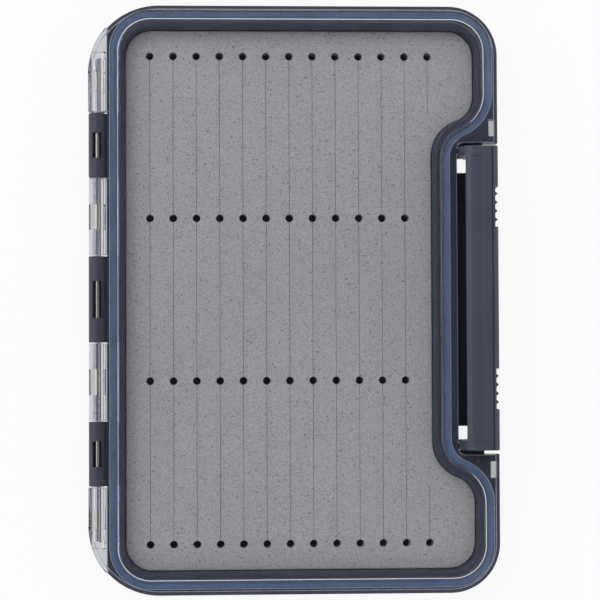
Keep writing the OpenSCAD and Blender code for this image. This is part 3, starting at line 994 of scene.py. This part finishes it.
def make_seal():
    """The seal's section swept along the groove, its faces turned outwards at the end."""
    middle = (LIP + GROOVE_IN) / 2
    groove = curve_object(
        "groove", [(x * MM, y * MM, GROOVE_Z * MM) for x, y in seal_path(middle)]
    )
    half, height = (GROOVE_IN - LIP) / 2 - 0.1, 1.5
    section = soften(
        [(-half, 0, 0.1), (-half, -height, 0.2), (half, -height, 0.2), (half, 0, 0.1)]
    )
    shape = curve_object("section", [(x * MM, y * MM, 0) for x, y in section])
    made = bpy.data.objects.new("silicone_seal", bpy.data.meshes.new("silicone_seal"))
    bpy.context.scene.collection.objects.link(made)
    modify(made, seal_group(), {"Groove": groove, "Section": shape, "Finish": seal_rubber})
    settle(made)
    bpy.data.objects.remove(groove)
    bpy.data.objects.remove(shape)
    bm = bmesh.new()
    bm.from_mesh(made.data)
    bpy.data.objects.remove(made)
    made = new_object("silicone_seal", bm)
    return fitted(polished(made), seal_rubber, "case", "seal_silicone", "seal_gasket")


def make_pins():
    """The steel rods of hinge and latch."""
    hinge = rod("hinge_rod", HINGE_X, HINGE_Z, HINGE_PIN_R, -PIN_HALF, PIN_HALF, 0.25)
    fitted(polished(hinge), steel, "case", "pin_steel", "hinge_pin")
    end = LATCH_HALF - 0.5
    pivot = rod("latch_rod", LATCH_X, LATCH_Z, LATCH_PIN_R, -end, end, 0.2)
    fitted(polished(pivot), steel, "case", "pin_steel", "latch_pin")


make_tray()
make_lid()
make_latch()
make_grips()
make_foam()
make_seal()
make_pins()
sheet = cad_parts["foam_adhesive"]
sheet.data.materials.clear()
sheet.data.materials.append(film)


# ---------- camera, floor and light ----------


def make_camera():
    """Almost straight above the box, as the photograph was taken."""
    tilt, lean, roll = 1.735, -2.665, -0.237
    camera = bpy.data.cameras.new("camera")
    camera.sensor_width = 36.0
    camera.lens = 119.4
    camera.clip_end = 10
    made = bpy.data.objects.new("camera", camera)
    made.location = (-0.02728, -0.01905, 0.63393)
    made.rotation_euler = Euler([math.radians(angle) for angle in (tilt, lean, roll)], "XYZ")
    bpy.context.scene.collection.objects.link(made)
    bpy.context.scene.camera = made


def plain_share(tree):
    """How much of its plain white the floor shows to each kind of ray.

    A ray that has passed through the clear lid counts as glossy too, so its share is their sum.
    """
    path = tree.nodes.new("ShaderNodeLightPath")
    total = None
    for name, share in (("Is Camera Ray", 0.9), ("Is Glossy Ray", 0.85), ("Is Transmission Ray", -0.6)):
        step = tree.nodes.new("ShaderNodeMath")
        step.operation = "MULTIPLY_ADD"
        step.inputs[1].default_value = share
        step.inputs[2].default_value = 0.0
        tree.links.new(path.outputs[name], step.inputs[0])
        if total:
            tree.links.new(total, step.inputs[2])
        total = step.outputs[0]
    return total


def make_floor():
    """A wide pale floor that keeps the object's shadow."""
    bm = bmesh.new()
    bmesh.ops.create_grid(bm, x_segments=1, y_segments=1, size=3.0)
    floor = new_object("floor", bm)
    material = bpy.data.materials.new("pale_floor")
    material.use_nodes = True
    tree = material.node_tree
    surface = tree.nodes["Principled BSDF"]
    surface.inputs["Base Color"].default_value = (0.9, 0.9, 0.9, 1)
    surface.inputs["Roughness"].default_value = 0.8
    surface.inputs["Specular IOR Level"].default_value = 0.2
    glow = tree.nodes.new("ShaderNodeEmission")
    mix = tree.nodes.new("ShaderNodeMixShader")
    tree.links.new(plain_share(tree), mix.inputs[0])
    tree.links.new(surface.outputs[0], mix.inputs[1])
    tree.links.new(glow.outputs[0], mix.inputs[2])
    tree.links.new(mix.outputs[0], tree.nodes["Material Output"].inputs["Surface"])
    floor.data.materials.append(material)


def make_light():
    """A pale room with a dim ceiling over the camera, and one broad soft lamp."""
    room, ceiling_edge, ceiling_full, ceiling_light = 0.8, 0.88, 0.985, 0.06
    world = bpy.data.worlds.new("studio")
    bpy.context.scene.world = world
    world.use_nodes = True
    tree = world.node_tree
    background = tree.nodes["Background"]
    direction = tree.nodes.new("ShaderNodeTexCoord").outputs["Generated"]
    split = tree.nodes.new("ShaderNodeSeparateXYZ")
    tree.links.new(direction, split.inputs[0])
    ceiling = tree.nodes.new("ShaderNodeMapRange")
    ceiling.interpolation_type = "SMOOTHSTEP"
    for socket, value in (
        ("From Min", ceiling_edge),
        ("From Max", ceiling_full),
        ("To Min", 1.0),
        ("To Max", ceiling_light),
    ):
        ceiling.inputs[socket].default_value = value
    tree.links.new(split.outputs["Z"], ceiling.inputs["Value"])
    path = tree.nodes.new("ShaderNodeLightPath")
    mix = tree.nodes.new("ShaderNodeMix")
    mix.data_type = "FLOAT"
    mix.inputs["A"].default_value = room
    tree.links.new(path.outputs["Is Glossy Ray"], mix.inputs["Factor"])
    tree.links.new(ceiling.outputs[0], mix.inputs["B"])
    show = tree.nodes.new("ShaderNodeMix")
    show.data_type = "FLOAT"
    show.inputs["B"].default_value = 1.0
    tree.links.new(path.outputs["Is Camera Ray"], show.inputs["Factor"])
    tree.links.new(mix.outputs[0], show.inputs["A"])
    tree.links.new(show.outputs[0], background.inputs["Strength"])
    background.inputs["Color"].default_value = (1, 1, 1, 1)
    lamp = bpy.data.lights.new("softbox", "AREA")
    lamp.shape, lamp.size, lamp.energy = "SQUARE", 0.9, 4.0
    made = bpy.data.objects.new("softbox", lamp)
    made.location = (-0.75, 0.7, 0.95)
    made.rotation_euler = (-made.location).to_track_quat("-Z", "Y").to_euler()
    bpy.context.scene.collection.objects.link(made)


make_camera()
make_floor()
make_light()
bpy.context.scene.view_settings.view_transform = "Standard"
